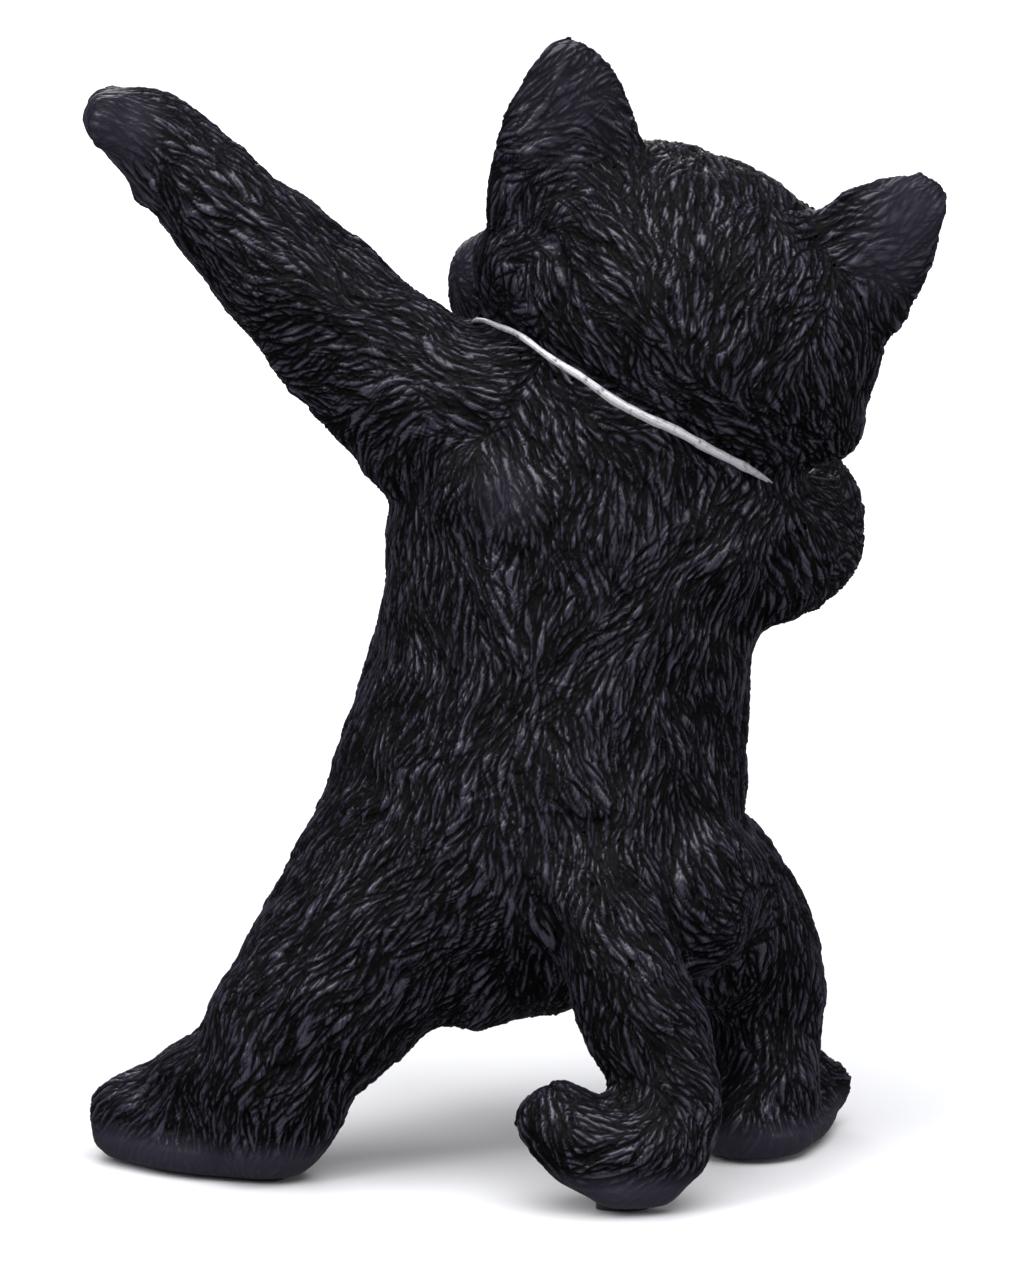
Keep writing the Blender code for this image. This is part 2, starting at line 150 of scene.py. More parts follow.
SKULL = tuple(head_bead(x, 0, 1, r, r, r) for x, r in ((-9, 30.9), (0, 32.3), (8, 30.5)))
LEFT_CHEEK = ((0.1, -5, 173.3, 8.9, 13, 10), (-3, -9, 168, 10, 13, 11))
RIGHT_CHEEK = ((-54.3, -4, 147.7, 14.5, 14, 13.2),)
MUZZLE = tuple(head_bead(x, -28, -11, 9.5, 8.5, 8) for x in (-6.5, 6.5))
NOSE_BRIDGE = (head_bead(0, -29, 5, 6, 5, 6), head_bead(0, -32.5, -4, 5.5, 5, 6))
CHIN = (head_bead(0, -26, -19, 8, 8, 6),)
BROWS = tuple(head_bead(s * 13, -24.5, 13, 9, 6, 5) for s in (-1, 1))
LEFT_EAR = (
    (-10.4, 0, 187, 16.6, 7, 16),
    (-10.2, 1, 198, 15.0, 5.2, 14.2),
    (-10.8, 1.5, 206.4, 10.8, 4.2, 10.6),
    (-10.9, 2, 212.6, 6.8, 3.4, 7),
)
RIGHT_EAR = (
    (-62.9, 0, 170.6, 14.8, 7, 14.6),
    (-67.9, 1, 177.8, 13.0, 5.2, 12.9),
    (-73.0, 1.5, 183.1, 9.7, 4.2, 9.7),
    (-76.9, 2, 186.9, 6.4, 3.4, 6.4),
)


def unit(v):
    v = np.asarray(v, float)
    return v / np.linalg.norm(v)


def toes(middle, across, forward, radii, spread, reach, count=4):
    """Short rows of beads side by side: each toe runs forward, the middle ones reach a little further."""
    middle, across, forward = np.array(middle), unit(across), unit(forward)
    rows = []
    for i in range(count):
        side = i - (count - 1) / 2
        root = middle + across * side * spread * 0.9 - forward * 1.5
        tip = middle + across * side * spread + forward * (reach - 0.6 * side * side)
        rows.append(((*root, *radii), (*tip, *(np.array(radii) * 0.95))))
    return rows


LEFT_TOES = toes((73.9, -6.0, 8.1), (0.5, 0.87, 0), (0.87, -0.5, 0), (4.4, 4.4, 6.9), 5.6, 1.5)
RIGHT_TOES = toes((-55.2, -32.2, 8.0), (0.9, -0.42, 0), (-0.42, -0.9, 0), (4.4, 4.4, 6.2), 5.3, 1.5)
RAISED_TOES = toes((78.3, -10.5, 201.9), (0, 1, 0), (0.8, 0, 0), (4.1, 3.4, 5.9), 6.0, 1.0)
BENT_TOES = toes((6.5, -42.5, 168.0), (-0.5, 0.1, 0.85), (0.65, -0.7, 0.3), (3.8, 3.8, 3.8), 4.8, 0.6)
RAISED_PADS = (
    (75.0, -10.0, 198.6, 5.4, 8.8, 5.4),
    (72.2, -9.5, 193.8, 3.9, 6.2, 4.0),
    (70.8, -9.0, 188.0, 2.9, 3.2, 3.4),
)


# ------------------------------------------------------------------ surfaces from numbers
def grid_quads(i, j, below, beside, columns):
    """Quads of a grid's points, row i and column j, with the next row and the next column."""
    corners = [i * columns + j, below * columns + j, below * columns + beside, i * columns + beside]
    return np.stack(corners, -1).reshape(-1, 4)


def ball_faces(rings, spokes):
    """Faces, turned outward, of a ball's points: a pole, rings - 1 rings of points, and the other pole."""
    i, j = np.meshgrid(np.arange(rings - 2), np.arange(spokes), indexing="ij")
    quads = grid_quads(i, j, i + 1, (j + 1) % spokes, spokes) + 1
    j = np.arange(spokes)
    k = (j + 1) % spokes
    last = (rings - 1) * spokes + 1
    foot = last - spokes
    first_cap = np.stack([j * 0, j + 1, k + 1], -1)
    last_cap = np.stack([j * 0 + last, foot + k, foot + j], -1)
    return quads, np.concatenate([first_cap, last_cap])


def bead_surface(centre, radii, rings, spokes):
    """Ellipsoid: the radii times (sin t cos a, sin t sin a, cos t), with one point at each pole."""
    t = np.pi * np.arange(1, rings) / rings
    a = 2 * np.pi * np.arange(spokes) / spokes
    x, y, z = np.outer(np.sin(t), np.cos(a)), np.outer(np.sin(t), np.sin(a)), np.outer(np.cos(t), a * 0 + 1)
    ring = np.stack([x, y, z], -1).reshape(-1, 3)
    return np.concatenate([[(0, 0, 1)], ring, [(0, 0, -1)]]) * radii + centre


def smooth_chain(stations, per_span=5):
    """Catmull-Rom curve through the stations, read at even steps of its parameter."""
    rows = np.array(stations, float)
    padded = np.concatenate([rows[:1], rows, rows[-1:]])
    t = (np.arange(per_span) / per_span)[:, None]
    spans = []
    for i in range(len(rows) - 1):
        p0, p1, p2, p3 = padded[i : i + 4]
        spans.append(0.5 * (2 * p1 + (p2 - p0) * t + (2 * p0 - 5 * p1 + 4 * p2 - p3) * t**2
                            + (3 * p1 - p0 - 3 * p2 + p3) * t**3))
    return np.concatenate([*spans, rows[-1:]])


def mesh_object(name, points, polygons):
    """A mesh object from sculpt millimetres and lists of polygons of one size each."""
    mesh = bpy.data.meshes.new(name)
    sizes = np.concatenate([np.full(len(p), p.shape[1]) for p in polygons])
    loops = np.concatenate([p.reshape(-1) for p in polygons]).astype(np.int32)
    mesh.vertices.add(len(points))
    mesh.vertices.foreach_set("co", ((points + SHIFT) * MM).astype(np.float32).reshape(-1))
    mesh.loops.add(len(loops))
    mesh.loops.foreach_set("vertex_index", loops)
    mesh.polygons.add(len(sizes))
    mesh.polygons.foreach_set("loop_start", np.concatenate([[0], np.cumsum(sizes)[:-1]]).astype(np.int32))
    mesh.update(calc_edges=True)
    mesh.validate()
    obj = bpy.data.objects.new(name, mesh)
    bpy.context.scene.collection.objects.link(obj)
    return obj


def applied(obj, kind, **settings):
    """The mesh that a modifier makes of the object, as points in millimetres and quads."""
    modifier = obj.modifiers.new(kind.title(), kind)
    for key, value in settings.items():
        setattr(modifier, key, value)
    bpy.context.view_layer.update()
    made = obj.evaluated_get(bpy.context.evaluated_depsgraph_get()).to_mesh()
    points = np.empty(len(made.vertices) * 3, np.float32)
    made.vertices.foreach_get("co", points)
    corners = np.empty(len(made.loops), np.int32)
    made.loops.foreach_get("vertex_index", corners)
    bpy.data.objects.remove(obj)
    return points.reshape(-1, 3).astype(float) / MM - SHIFT, corners.reshape(-1, 4)


def relaxed(points, quads, rounds, strength):
    """Moves each point part of the way to the mean of its neighbours, round after round."""
    ends = np.concatenate([quads[:, [0, 1]], quads[:, [1, 2]], quads[:, [2, 3]], quads[:, [3, 0]]])
    start, end = ends[:, 0], ends[:, 1]
    share = np.bincount(start, minlength=len(points))[:, None]
    for _ in range(rounds):
        mean = np.stack([np.bincount(start, points[end, k], len(points)) for k in range(3)], -1) / share
        points = points + (mean - points) * 0.5 * strength[:, None]
    return points


def fused(name, chains, voxel, rounds, crisp):
    """Beads along every chain, fused by a voxel remesh, relaxed except near crisp spots, subdivided twice."""
    rings, spokes = 12, 22
    rows = np.concatenate([smooth_chain(chain) for chain in chains])
    beads = np.stack([bead_surface(row[:3], row[3:], rings, spokes) for row in rows])
    first = np.arange(len(beads))[:, None, None] * beads.shape[1]
    quads, caps = ball_faces(rings, spokes)
    polygons = [(quads + first).reshape(-1, 4), (caps + first).reshape(-1, 3)]
    blobs = mesh_object(name, beads.reshape(-1, 3), polygons)
    points, quads = applied(blobs, "REMESH", mode="VOXEL", voxel_size=voxel * MM)
    strength = np.ones(len(points))
    for x, y, z, reach, keep in crisp:
        distance = np.linalg.norm(points - (x, y, z), axis=1)
        strength = np.minimum(strength, 1 - keep * np.exp(-((distance / reach) ** 4)))
    points = relaxed(points, quads, rounds, strength)
    cage = mesh_object(name, points, [quads])
    return applied(cage, "SUBSURF", levels=2, render_levels=2)


# ------------------------------------------------------------------ the coat
# Where the hair lies which way: x, y, z of a spot, and the direction of the hair there.
GUIDES = np.array([
    # back of the head: combed in from both sides to a point above the nape, then along the collar
    (-16, 20, 176, -0.7, 0.0, -0.7), (-25, 22, 184, -0.45, 0.3, -0.85), (-34, 24, 180, 0.0, 0.2, -1.0),
    (-43, 22, 180, 0.4, 0.2, -0.9), (-52, 16, 172, 0.75, 0.1, -0.65), (-34, 26, 166, 0.1, 0.0, -1.0),
    (-24, 24, 163, -0.55, 0.0, -0.8), (-46, 21, 160, 0.45, 0.0, -0.9), (-12, 19, 161, -0.8, 0.0, -0.6),
    (-26, 22, 151, -0.85, 0.0, -0.5), (-42, 19, 145, -0.8, 0.0, -0.55), (-56, 9, 148, -0.5, 0.0, -0.85),
    (-63, 5, 166, 0.0, 0.1, -1.0), (-60, 12, 177, 0.25, 0.2, -0.95), (-58, -4, 190, -0.5, 0.8, 0.2),
    (-31, 5, 195, 0.0, 1.0, 0.0), (-45, 4, 191, -0.2, 1.0, -0.1), (-20, 8, 192, 0.3, 0.9, 0.1),
    # the swirl on the left cheek
    (0, 8, 180, -1.0, 0.0, 0.1), (-6, 9, 173, -0.1, 0.0, -1.0), (0, 8, 165, 1.0, 0.0, -0.1),
    (7, 5, 173, 0.1, 0.0, 1.0),
    # backs of the ears
    (-8, 6, 200, -1.0, 0.0, 0.15), (-4, 6, 194, -0.9, 0.0, 0.3), (-18, 6, 200, -0.5, 0.0, -0.85),
    (-2, 6, 187, -0.35, 0.0, 0.9), (-11, 5, 208, -0.7, 0.0, 0.7), (-20, 8, 190, -0.6, 0.0, -0.7),
    (-64, 6, 178, -0.9, 0.0, 0.4), (-70, 5, 178, -0.95, 0.0, 0.1), (-73, 4, 186, -0.7, 0.0, 0.7),
    (-60, 6, 184, -0.6, 0.0, 0.75), (-66, 6, 166, -0.6, 0.0, -0.8),
    # fronts of the ears and the face: out of the ears, away from the nose
    (-10, -6, 196, 0.0, -0.3, 1.0), (-70, -6, 180, -0.7, -0.3, 0.7), (-18, -32, 182, 0.5, 0.4, 0.8),
    (-38, -36, 178, -0.4, 0.5, 0.8), (-55, -28, 160, -0.9, 0.4, 0.0), (-60, -14, 150, -0.7, 0.6, -0.5),
    (-4, -24, 172, 0.8, 0.6, 0.0), (-30, -38, 165, 0.2, -0.2, 1.0), (-48, -30, 145, -0.6, 0.3, -0.8),
    # the back: from both shoulders into one river that runs down to the left, and on down to the tail
    (-4, 21, 140, -0.4, 0.0, -0.9), (-17, 23, 138, -0.35, 0.0, -0.95), (-30, 21, 134, 0.1, 0.0, -1.0),
    (-44, 15, 128, 0.6, 0.0, -0.8), (-34, 23, 122, 0.6, 0.0, -0.8), (-24, 26, 114, 0.65, 0.0, -0.75),
    (-14, 27, 120, -0.1, 0.0, -1.0), (-12, 27, 103, 0.6, 0.0, -0.8), (0, 25, 108, -0.2, 0.0, -1.0),
    (-32, 24, 104, 0.4, 0.0, -0.9), (-42, 16, 108, 0.1, 0.0, -1.0), (6, 22, 118, -0.3, 0.0, -0.95),
    (16, 16, 112, -0.2, 0.0, -1.0), (0, 27, 92, 0.3, 0.0, -0.95), (-18, 29, 92, 0.1, 0.0, -1.0),
    (-34, 25, 88, -0.2, 0.0, -1.0), (-9, 31, 80, -0.3, 0.0, -0.95), (8, 28, 78, 0.5, 0.0, -0.85),
    (-26, 31, 74, 0.2, 0.0, -1.0), (-40, 22, 74, -0.4, 0.0, -0.9), (20, 22, 88, 0.2, 0.0, -1.0),
    (22, 24, 70, 0.6, 0.0, -0.75), (0, 33, 66, 0.1, 0.0, -1.0), (28, 12, 84, 0.3, 0.0, -0.95),
    # the right haunch: rings like a smile along its lower edge
    (-32, 31, 52, -0.6, 0.0, -0.8), (-38, 28, 43, -1.0, 0.0, 0.0), (-47, 20, 51, -0.5, 0.0, 0.85),
    (-34, 31, 62, -0.3, 0.0, -0.95), (-46, 18, 64, -0.2, 0.0, -1.0),
    # the right leg and foot
    (-44, 6, 36, 0.1, 0.0, -1.0), (-54, 0, 34, 0.0, 0.0, -1.0), (-50, 2, 24, 0.3, 0.0, -0.95),
    (-58, -9, 22, 0.0, -0.1, -1.0), (-52, -14, 14, -0.1, -0.9, -0.4), (-40, -18, 30, 0.0, -0.4, -0.9),
    (-60, -30, 12, -0.2, -0.8, -0.5), (-49, -32, 13, 0.0, -0.9, -0.4),
    # the left leg and foot
    (14, 30, 56, 0.7, 0.0, -0.7), (28, 30, 46, 0.65, 0.0, -0.75), (38, 28, 36, 0.6, 0.0, -0.8),
    (46, 26, 22, 0.45, 0.0, -0.9), (56, 15, 16, 0.3, -0.2, -0.95), (64, 5, 16, 0.6, -0.5, -0.6),
    (74, -5, 15, 0.6, -0.6, -0.5), (38, 14, 60, 0.6, 0.0, -0.8), (50, 8, 40, 0.5, 0.0, -0.85),
    (58, 20, 8, 0.1, 0.0, -1.0), (30, 22, 20, 0.1, 0.0, -1.0), (36, -10, 50, 0.5, -0.2, -0.8),
    # the raised arm: along its upper side, and down across its back
    (12, 14, 150, 0.5, 0.0, 0.4), (22, 10, 162, 0.7, 0.0, 0.7), (22, 14, 148, 0.5, 0.0, -0.4),
    (34, 10, 158, 0.6, 0.0, -0.1), (36, 4, 174, 0.7, 0.0, 0.7), (46, 7, 170, 0.6, 0.0, 0.2),
    (56, 5, 182, 0.65, 0.0, 0.5), (52, 0, 190, 0.65, 0.0, 0.75), (44, 4, 164, 0.5, 0.0, -0.4),
    (64, 2, 192, 0.7, 0.0, 0.6), (72, 0, 200, 0.8, 0.0, 0.5), (14, 12, 136, 0.2, 0.0, -0.9),
    (24, 0, 136, 0.1, -0.2, -0.95), (30, -16, 160, 0.7, 0.0, 0.7), (56, -17, 184, 0.7, 0.0, 0.7),
    # the bent arm, the chest and the belly
    (-52, 8, 116, -0.2, -0.5, -0.8), (-62, -10, 116, -0.2, -0.9, -0.3), (-67, -30, 118, 0.1, -0.9, 0.2),
    (-56, -50, 126, 0.8, -0.4, 0.4), (-38, -57, 136, 0.9, -0.1, 0.4), (-18, -58, 148, 0.85, 0.1, 0.5),
    (-2, -52, 158, 0.8, 0.3, 0.5), (6, -44, 168, 0.7, 0.5, 0.5), (-30, -46, 128, 0.9, 0.0, 0.4),
    (-10, -26, 130, 0.1, -0.3, -1.0), (-20, -30, 112, 0.0, 0.0, -1.0), (4, -26, 112, 0.1, 0.0, -1.0),
    (-12, -30, 92, 0.0, 0.0, -1.0), (14, -24, 92, 0.3, 0.0, -0.95), (-38, -22, 94, -0.2, 0.0, -1.0),
    (-8, -28, 68, 0.0, 0.0, -1.0), (20, -20, 66, 0.6, 0.0, -0.8), (-34, -24, 62, -0.3, 0.0, -0.95),
    (30, -2, 100, 0.0, 0.0, -1.0), (-46, -2, 96, 0.0, 0.0, -1.0), (-46, -2, 78, -0.1, 0.0, -1.0),
    # the tail: down its stem, round its bend, up to its tip
    (-10, 36, 62, -0.1, 0.1, -1.0), (-12, 41, 52, -0.2, 0.0, -1.0), (-24, 44, 50, -0.6, 0.0, -0.75),
    (-16, 44, 40, -0.15, 0.0, -1.0), (-28, 46, 38, -0.75, 0.0, -0.5), (-36, 38, 36, -0.3, -0.3, -0.9),
    (-34, 46, 26, -0.7, 0.0, -0.6), (-20, 46, 28, -0.2, 0.0, -1.0), (-36, 46, 14, 0.2, 0.2, -0.9),
    (-26, 55, 12, 0.6, 0.2, -0.7), (-16, 56, 12, 0.8, 0.0, -0.3), (-8, 52, 16, 0.5, 0.0, 0.8),
    (-6, 46, 22, 0.2, 0.0, 0.95), (-16, 50, 22, 0.7, 0.0, 0.6), (-20, 26, 40, 0.0, 0.0, -1.0),
])
# Spots where the coat is shallower: x, y, z, reach, and how much of it is left.
QUIET = (
    (79, -10, 202, 8, 0.12), (71, -10, 191, 6, 0.15), (75, -1, 201, 8, 0.3),
    (6, -36, 171, 12, 0.4), (78, -8, 7, 8, 0.25), (-57, -34, 7, 8, 0.25),
    (2, 18, 133, 8, 0.4), (-76, 2, 186, 10, 0.3), (-70, 0, 174, 9, 0.4), (-10, 2, 208, 14, 0.55),
)
FACE_QUIET = ((-14.5, -28, 5, 9, 0.1), (14.5, -28, 5, 9, 0.1), (0, -37, -6, 6.5, 0.05), (0, -34, -13, 9, 0.5))


def ripple(points, length, seed):
    """Smooth noise of about unit size: twelve sine waves of one length in random directions, added up."""
    dice = np.random.default_rng(seed)
    waves = dice.normal(size=(12, 3))
    waves *= 2 * np.pi / length / np.linalg.norm(waves, axis=1, keepdims=True)
    return np.sin(points @ waves.T + dice.uniform(0, 2 * np.pi, 12)).sum(1) / math.sqrt(6)


def lay(points, normals, loose, seed):
    """The hair's direction: guides weighed by (gap^2 + 9)^-2.5, laid flat on the skin and turned by noise."""
    gap = ((points[:, None] - GUIDES[None, :, :3]) ** 2).sum(2)
    way = (1 / (gap + 9) ** 2.5) @ (GUIDES[:, 3:] / np.linalg.norm(GUIDES[:, 3:], axis=1, keepdims=True))
    way -= normals * (way * normals).sum(1)[:, None]
    way /= np.linalg.norm(way, axis=1, keepdims=True) + 1e-12
    turn = (loose * (0.65 * ripple(points, 13, seed) + 0.35 * ripple(points, 5, seed + 1)))[:, None]
    return way * np.cos(turn) + np.cross(normals, way) * np.sin(turn)


def normals_of(points, quads):
    """Each point's normal: the cross products of the diagonals of the quads round it, added up."""
    cross = np.cross(points[quads[:, 2]] - points[quads[:, 0]], points[quads[:, 3]] - points[quads[:, 1]])
    corner = quads.reshape(-1)
    total = np.stack([np.bincount(corner, np.repeat(cross[:, k], 4), len(points)) for k in range(3)], -1)
    return total / (np.linalg.norm(total, axis=1, keepdims=True) + 1e-20)


class Cells:
    """Points sorted into cubic cells: those near a spot are read from nine runs of the sorted list."""

    def __init__(self, points, side):
        self.side, self.low = side, points.min(0) - 3 * side
        self.counts = ((points.max(0) - self.low) / side).astype(np.int64) + 4
        keys = self.key(self.cell(points))
        self.order = np.argsort(keys, kind="stable")
        self.keys = keys[self.order]

    def cell(self, points):
        return ((points - self.low) / self.side).astype(np.int64)

    def key(self, cell):
        return (cell[:, 0] * self.counts[1] + cell[:, 1]) * self.counts[2] + cell[:, 2]

    def near(self, spots):
        """Pairs of a spot's number and a point's number, for all points in the cells round the spot's own."""
        cell = self.cell(spots)
        owners, found = [], []
        for x in (-1, 0, 1):
            for y in (-1, 0, 1):
                first = np.searchsorted(self.keys, self.key(cell + (x, y, -1)), "left")
                count = np.searchsorted(self.keys, self.key(cell + (x, y, 1)), "right") - first
                start = np.cumsum(count) - count
                owners.append(np.repeat(np.arange(len(spots)), count))
                found.append(np.arange(count.sum()) + np.repeat(first - start, count))
        return np.concatenate(owners), self.order[np.concatenate(found)]


def scattered(points, spacing, seed):
    """Numbers of points about one spacing apart: one from each cell, less those too near an earlier one."""
    mixed = np.random.default_rng(seed).permutation(len(points))
    cells = ((points[mixed] - points.min(0)) / (0.9 * spacing)).astype(np.int64)
    _, first = np.unique((cells[:, 0] * 4096 + cells[:, 1]) * 4096 + cells[:, 2], return_index=True)
    chosen = mixed[np.sort(first)]
    a, b = Cells(points[chosen], spacing).near(points[chosen])
    close = np.linalg.norm(points[chosen[a]] - points[chosen[b]], axis=1) < 0.62 * spacing
    crowded = np.zeros(len(chosen), bool)
    crowded[a[close & (b < a)]] = True
    return chosen[~crowded]


def under(points, normals, cells, marks):
    """Marks are centre, normal, way, half length, half width and bend. Gives mark, point, along and across.

    Along is the distance ahead of the centre, and across the distance to the side of its bent middle line,
    as shares of the half length and half width. The marks are taken 1200 at a time to save memory.
    """
    centre, normal, way, length, width, bend = marks
    side = np.cross(normal, way)
    found = []
    for start in range(0, len(centre), 1200):
        part = slice(start, start + 1200)
        mark, point = cells.near(centre[part])
        mark += start
        offset = (points[point] - centre[mark]).astype(np.float32)
        along = np.einsum("ij,ij->i", offset, way[mark].astype(np.float32))
        keep = np.abs(along) < length[mark]
        mark, point, offset, along = mark[keep], point[keep], offset[keep], along[keep]
        across = np.einsum("ij,ij->i", offset, side[mark].astype(np.float32)) - bend[mark] * along**2
        keep = np.abs(across) < width[mark]
        mark, point, along, across = mark[keep], point[keep], along[keep], across[keep]
        keep = np.einsum("ij,ij->i", normals[point], normal[mark]) > 0.35
        mark, point = mark[keep], point[keep]
        found.append((mark, point, along[keep] / length[mark], across[keep] / width[mark]))
    return [np.concatenate(column) for column in zip(*found)]


def marks_at(points, normals, spots, seed, loose, length, width, bend):
    """Marks on the surface at the numbered points, with lengths and widths between two limits."""
    dice = np.random.default_rng(seed)
    count = len(spots)
    return (points[spots], normals[spots], lay(points[spots], normals[spots], loose, seed),
            dice.uniform(*length, count), dice.uniform(*width, count), dice.normal(0, bend, count))


def locks(points, normals, seed, spacing, length, width, loose, bend, strands):
    """Overlapping leaf-shaped locks: height 0..1, strand number across, distance along, and groove 0..1.

    Each lock is a dome, rounded across and rising to its tip, inside an outline t^0.4 (1 - t)^0.6 from root
    to tip. The highest lock at a point wins it. Strands are |sin| waves across, and run together at the tip.
    """
    spots = scattered(points, spacing, seed)
    marks = marks_at(points, normals, spots, seed, loose, length, width, bend)
    mark, point, along, across = under(points, normals, Cells(points, length[1]), marks)
    dice = np.random.default_rng(seed + 50)
    t = (along + 1) / 2
    outline = 1.9 * t**0.4 * (1 - t) ** 0.6 + 1e-3
    share = across / outline
    inside = np.abs(share) < 1
    mark, point, t, share, along = mark[inside], point[inside], t[inside], share[inside], along[inside]
    lift = dice.uniform(0.72, 1.0, len(spots))[mark]
    height = lift * (0.35 + 0.65 * t**0.8) * (1 - share**2) ** 0.42 * np.clip((1 - t) / 0.12, 0, 1) ** 0.5
    best = np.zeros(len(points))
    np.maximum.at(best, point, height)
    wins = height >= best[point]
    mark, point, t, share, along = mark[wins], point[wins], t[wins], share[wins], along[wins]
    count = dice.uniform(*strands, len(spots))[mark]
    wobble = 0.25 * np.sin(along * 3.1 + dice.uniform(0, 6.3, len(spots))[mark])
    number = share * count / 2 + wobble + dice.integers(0, 90, len(spots))[mark] + 0.5 * (mark % 2)
    groove = np.zeros(len(points))
    groove[point] = (1 - np.abs(np.sin(np.pi * number)) ** 0.5) * (1 - 0.6 * share**2)
    groove[point] *= dice.uniform(0.45, 1.0, len(spots))[mark] * np.clip(t / 0.15, 0.2, 1)
    strand, run = np.zeros(len(points)), np.zeros(len(points))
    strand[point], run[point] = number, along * marks[3][mark] + 10 * (mark % 17)
    return best, strand, run, groove


def cuts(points, normals, seed, spacing, length, width, loose, bend):
    """Single tool strokes: depth 0..1, a narrow bell across, tapered to both ends."""
    spots = scattered(points, spacing, seed)
    marks = marks_at(points, normals, spots, seed, loose, length, width, bend)
    mark, point, along, across = under(points, normals, Cells(points, length[1]), marks)
    force = np.random.default_rng(seed + 50).uniform(0.4, 1.0, len(spots))[mark]
    depth = force * np.exp(-((across / 0.55) ** 2)) * (1 - along**2) ** 0.7
    total = np.zeros(len(points))
    np.maximum.at(total, point, depth)
    return total


def coat_strength(points):
    """How deep the coat is: 1, less near the quiet spots and at the soles."""
    strength = np.clip((points[:, 2] - 5.0) / 5.0, 0.12, 1)
    spots = [(*in_head(x, y, z), reach, left) for x, y, z, reach, left in FACE_QUIET]
    for x, y, z, reach, left in (*QUIET, *spots):
        gap = ((points - (x, y, z)) ** 2).sum(1) / reach**2
        strength = strength * (1 - (1 - left) * np.exp(-(gap**1.5)))
    return strength


def in_collar(points):
    """Points in the collar's own axes: x and y in its plane, z across its band."""
    t, p = COLLAR_TILT, COLLAR_PITCH
    about_y = np.array([[math.cos(t), 0, math.sin(t)], [0, 1, 0], [-math.sin(t), 0, math.cos(t)]])
    about_x = np.array([[1, 0, 0], [0, math.cos(p), -math.sin(p)], [0, math.sin(p), math.cos(p)]])
    turn = about_y @ about_x
    return (points - COLLAR_CENTRE) @ turn, turn


def collar_lie(x, y):
    """How far the collar lies above its plane at x and y of its own axes: nothing in front of the neck."""
    curve = smooth_chain(COLLAR_LIE)
    return np.interp(x, curve[:, 0], curve[:, 1]) * np.clip(y / 8, 0, 1)


def neck_groove(points):
    """Depth of the channel that the collar sits in: a bell across the band, only near the band's ring."""
    local, _ = in_collar(points)
    ring = np.hypot(local[:, 0] / COLLAR_HALF[0], local[:, 1] / COLLAR_HALF[1])
    off = local[:, 2] - collar_lie(local[:, 0], local[:, 1])
    return np.exp(-((off / 2.0) ** 4)) * np.clip(1.6 - 6 * np.abs(ring - 1), 0, 1)


def chain_distance(points, *chains):
    """Least distance to the chains' beads, as a share of each bead's radii."""
    rows = np.concatenate([smooth_chain(chain, 3) for chain in chains])
    return np.min([np.linalg.norm((points - row[:3]) / row[3:], axis=1) for row in rows], axis=0)


# ------------------------------------------------------------------ the whole casting
HEAD_CHAINS = [SKULL, LEFT_CHEEK, RIGHT_CHEEK, NOSE_BRIDGE, CHIN, LEFT_EAR, RIGHT_EAR, MUZZLE]
HEAD_CHAINS += [(brow, brow) for brow in BROWS]
EYE_X, EYE_Z = 14.5, 5.0
EYE_SPOTS = [in_head(side * EYE_X, -27.3, EYE_Z) for side in (-1, 1)]


def lid(side, thick=1.7):
    """A closed chain of small beads round an eye of the upright head."""
    turns = 2 * np.pi * np.arange(9) / 8
    ring = [(6.9 * math.cos(a), 6.5 * math.sin(a)) for a in turns]
    return tuple(
        head_bead(side * EYE_X + x, -28.0 + 0.10 * x * side, EYE_Z + z, thick, thick, thick) for x, z in ring
    )


LIDS = [lid(-1), lid(1)]
BODY_CHAINS = [TORSO, LEFT_SHOULDER, RIGHT_SHOULDER, RIGHT_BUTTOCK, LEFT_BUTTOCK, CROTCH]
BODY_CHAINS += [(blade, blade) for blade in SHOULDER_BLADES]
TAIL_CHAINS = [TAIL, TAIL_SOLE]
LEFT_CHAINS = [LEFT_LEG, LEFT_FOOT, LEFT_SOLE, LEFT_ANKLE, *LEFT_TOES]
RIGHT_CHAINS = [RIGHT_LEG, RIGHT_FOOT, RIGHT_SOLE, *RIGHT_TOES]
RAISED_CHAINS = [RAISED_ARM, *RAISED_TOES] + [(pad, pad) for pad in RAISED_PADS]
BENT_CHAINS = [BENT_ARM, *BENT_TOES]
# Spots that smoothing should leave crisp: x, y, z, reach, and how much is kept.
CRISP = [(*row[:3], 5.0, 0.8) for toe in (*LEFT_TOES, *RIGHT_TOES, *RAISED_TOES, *BENT_TOES) for row in toe]
CRISP += [(*pad[:3], 4.5, 0.8) for pad in RAISED_PADS]
CRISP += [(*spot, 11.0, 0.75) for spot in EYE_SPOTS]
CRISP += [(-4, -2, 171, 12.0, 0.7), (11, 30, 50, 3.0, 0.5)]

LIMB_CHAINS = LEFT_CHAINS + RIGHT_CHAINS + RAISED_CHAINS + BENT_CHAINS + TAIL_CHAINS
VOXEL, RELAXED = 1.38, 6
points, quads = fused("cat", HEAD_CHAINS + LIDS + BODY_CHAINS + LIMB_CHAINS, VOXEL, RELAXED, CRISP)
normals = normals_of(points, quads)

